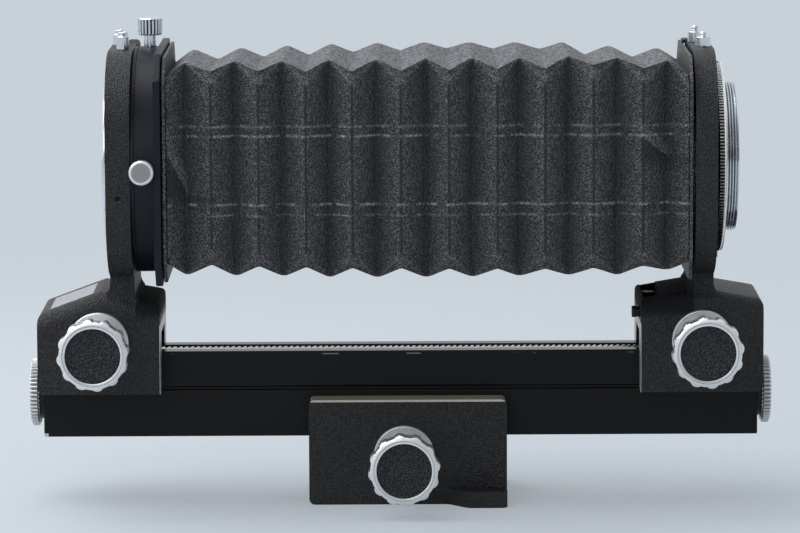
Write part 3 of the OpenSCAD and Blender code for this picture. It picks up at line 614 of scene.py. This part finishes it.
# third numbers: painted shade on the screw's face; the last argument adds painted shade in the knurl's
# grooves
side_profile = [(-5.5, 0), (-5.5, 1.4), (0.85, 1.45), (0.85, 3.0), (1.1, 3.35), (1.4, 3.5), (1.9, 3.5),
                (2.6, 3.5), (3.05, 3.5), (3.3, 3.3), (3.55, 3.0), (3.55, 2.7), (3.47, 2.6, 0.6),
                (3.47, 0, 0.6)]
side_screw = turned("side_screw", (-70.6, -31.6, lens_axis_z), (0, -1, 0), side_profile, silver,
                    body_of["side_lock_screw"], "satin_silver", knurl(44, 0.22, 1.3, 3.15), 352,
                    (0.22, 0.7))
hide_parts("side_lock_screw")

# ---- Bellows -----------------------------------------------------------------------------------
# A folded leather tube, eleven pleats long. The top and bottom stand in ridges where the sides dip,
# so that the corners run in zigzags, and small gussets fold the leather in below each corner.
# In mm: where the ridges and valleys are, and how high the two top edges and the underside are there.
ridge_x = [-58.6, -45.1, -32.0, -19.3, -6.2, 7.3, 20.1, 33.0, 46.5, 59.9, 73.6]
valley_x = [-64.1, -51.7, -38.7, -25.7, -13.0, 0.4, 13.6, 26.9, 40.0, 53.2, 66.8, 79.6]
near_ridge = [125.8, 126.1, 126.1, 126.4, 126.4, 126.6, 126.7, 126.7, 127.1, 126.5, 125.9]
far_ridge = [124.6, 125.0, 125.6, 126.0, 126.2, 126.3, 126.2, 126.2, 126.2, 125.1, 124.4]
near_valley = [121.3, 123.2, 123.2, 122.9, 123.0, 123.1, 123.2, 123.5, 123.5, 124.6, 123.6, 121.5]
far_valley = [120.2, 121.1, 121.7, 122.2, 123.0, 123.4, 124.0, 123.8, 123.7, 121.9, 121.2, 120.4]
low_ridge = [66.5, 66.2, 66.1, 65.7, 65.6, 65.6, 65.7, 65.9, 66.1, 66.0, 67.4]
low_valley = [70.6, 70.1, 69.6, 69.3, 69.0, 68.9, 68.7, 68.6, 68.5, 68.7, 69.2, 70.6]
first_x, last_x, middle_x = valley_x[0], valley_x[-1], 8.05
side_out, side_in = 30.1, 26.3


def phase(x):
    """0 at a valley of the top and 1 at a ridge, in straight lines between them."""
    at = np.array(sorted(valley_x + ridge_x))
    return np.interp(x, at, np.arange(len(at)) % 2)


def soft(v, r):
    """The size of v with its corner at nought rounded over r."""
    return np.sqrt(v ** 2 + r ** 2)


def pleats(name, x0, x1):
    """Half of the bellows, from x0 to x1. At each place along the rail the section is a rectangle,
    drawn from its lower near corner up the near side, and its top, bottom and sides follow the
    zigzags: p is 1 at a ridge of the top and 0 in a valley, where the sides stand out."""
    per_fold, wall, half_width, centre = 12, 0.8, 29.0, (0, 0, lens_axis_z)
    knots = [x0] + [k for k in sorted(valley_x + ridge_x) if x0 < k < x1] + [x1]
    folds = [np.linspace(a, b, per_fold + 1)[:-1] for a, b in zip(knots, knots[1:])]
    x = np.concatenate(folds + [[x1]])
    p = phase(x)
    along, p_row = x[:, None], p[:, None]
    # the zigzag of the top and bottom, a little rounded at the ridges and creased in the valleys
    fold = np.clip(1.02 - soft(1 - p, 0.11) + soft(p, 0.05) - p, 0, 1)

    def height(at_ridges, at_valleys):
        ridges, valleys = np.interp(x, ridge_x, at_ridges), np.interp(x, valley_x, at_valleys)
        return ridges * fold + valleys * (1 - fold)

    near_top, far_top = height(near_ridge, near_valley), height(far_ridge, far_valley)
    low = height(low_ridge, low_valley)
    pinch = 0.4 * np.exp(-((1 - p) / 0.06) ** 2)
    side = side_out - (side_out - side_in) * (soft(p, 0.07) - 0.07) - pinch
    # the steps round the tube, finer towards its corners, as shares of a face's width of 58
    steps = np.array([0, 0.25, 0.55, 0.9, 1.3, 1.8, 2.4, 3.1, 3.9, 4.8, 5.8, 7, 8.5, 10.5, 13, 16.5,
                      20.5, 25]) / 58
    t = np.concatenate([steps, [0.48, 0.52], 1 - steps[:0:-1]])
    corners = [(-side, low), (-side, near_top), (side, far_top), (side, low)]
    ends = corners[1:] + corners[:1]
    y, z = (np.concatenate([a[k][:, None] * (1 - t) + b[k][:, None] * t
                            for a, b in zip(corners, ends)], 1) for k in (0, 1))
    on_side = np.abs(y) > side[:, None] - 0.01
    # gussets: the side leans in between the corner's zigzag and a crease that starts from the ridge
    top = np.where(y < 0, near_top[:, None], far_top[:, None])
    dip = 1 - p_row
    up_crease, low_crease = top - 3.4 * dip, low[:, None] + 3.6 * dip
    lean = np.clip(z - up_crease, 0, 4) * 0.30 + np.clip(low_crease - z, 0, 4) * 0.34
    line = np.exp(-((z - up_crease) / 0.4) ** 2) + 0.7 * np.exp(-((z - low_crease) / 0.4) ** 2)
    ripple = np.sin(along * 0.9 + z * 0.21) * np.sin(z * 0.33 + along * 0.17)
    y = y + np.sign(y) * on_side * (0.14 * ripple + 0.10 * line - lean)
    rubbed = 0.15 + 0.25 * np.sin(along * 1.7) ** 2
    wear = on_side * (line * rubbed + 0.2 * np.exp(-((z - top) / 0.3) ** 2))
    # ridge: 1 on the sides' outward folds and 0 in their valleys, where the leather gets painted shade
    ridge = np.where(on_side, np.clip(1.15 - 1.35 * p_row, 0, 1), 0.9)
    # on the sides, between the gussets, each outward fold has a crease along its crest, drawn as a thin
    # line of painted shade
    from_crease = np.where(on_side & (z < up_crease) & (z > low_crease), p_row, 1)
    for _ in range(2):
        y = (np.roll(y, 1, 1) + 2 * y + np.roll(y, -1, 1)) / 4
        z = (np.roll(z, 1, 1) + 2 * z + np.roll(z, -1, 1)) / 4
    thin = 1 - wall / half_width
    outer = np.stack([np.broadcast_to(along, y.shape), y, z], -1)
    inner = (outer - centre) * (1, thin, thin) + centre
    # crown marks the top and bottom faces, which get painted sheen
    attributes = {"wear": wear, "ridge": ridge, "crown": 1.0 - on_side, "from_crease": from_crease}
    both_skins = {k: np.concatenate([v, v[::-1]])[:, ::-1] for k, v in attributes.items()}
    obj = surface(name, np.concatenate([outer, inner[::-1]])[:, ::-1] / 1000, hide, body_of["bellows"],
                  "black_leather", both_skins, wrap_rows=True, sharp=180)
    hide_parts("bellows")
    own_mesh(obj)


pleats("bellows_front_half", first_x, middle_x)
pleats("bellows_rear_half", middle_x, last_x)

# ---- Rear standard -----------------------------------------------------------------------------
# A casting like the front one turned round, with a flatter top, the bellows' rear frame, two release
# barrels with sprung ball-tipped pins, a headed pin in its inner face and a screw in the pocket.
dressed("rear_casting", rear_paint, 0.0009, 3)
dressed("bellows_rear_frame", plain_hide, 0.0004)
dressed("rear_shoes", bronze, 0.0001)
dressed("rear_gib", bronze, 0.0001)
dressed("rear_release_barrels", chrome, 0.0002)
dressed("near_release_plunger", chrome)
dressed("far_release_plunger", chrome)
dressed("rear_stop_pin", oxide, 0.0002)
dressed("rear_corner_screw", oxide, 0.0002)

# ---- Lock ring and camera mount ----------------------------------------------------------------
# A knurled ring with a small tab clamps the turning mount, whose bright male thread takes the
# camera. Both are turned, and a thin ring keeps the mount in the upright.


def ring_painted_shade(look):
    """Painted shade: the grooves of the knurling, by their distance from the lens axis, and the ring's
    inner face.
    """
    up = look.z - lens_axis_z / 1000
    from_axis = (look.y * look.y + up * up).math("SQRT")
    return (1 - from_axis.step(0.02630, 0.02655)) * (1 - look.x.step(0.08947, 0.08953))


ring_metal = metal("ring_silver", (0.80, 0.805, 0.81), (0.93, 0.935, 0.94), 0.2, 0.8, ring_painted_shade)
dressed("knurled_lock_ring", ring_metal, 0.00006, 1)
# third numbers: painted shade, black on the flange next to the lock ring and grey in the roots of the
# thread
thread_profile = [(-0.45, 18.6), (-0.45, 21.4), (5.9, 21.4), (5.9, 22.05, 1), (8.55, 22.05, 1),
                  (8.6, 22.05), (8.6, 20.75, 1), (8.9, 20.75, 1), (9.15, 21.0), (9.3, 21.0),
                  (9.6, 20.5, 0.6), (9.9, 21.0), (10.05, 21.0), (10.35, 20.5, 0.6), (10.65, 21.0),
                  (10.8, 21.0), (11.1, 20.5, 0.6), (11.4, 21.0), (11.55, 21.0), (11.8, 20.6, 0.4),
                  (12.1, 20.9), (12.3, 20.9), (12.4, 20.7), (12.4, 18.9), (12.1, 18.6)]
thread = turned("camera_mount_piece", (81.5, 0, lens_axis_z), (1, 0, 0), thread_profile, chrome,
                body_of["camera_mount"], "bright_chrome", None, 256, wrap_rows=True)
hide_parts("camera_mount")
dressed("camera_mount_retainer", steel)
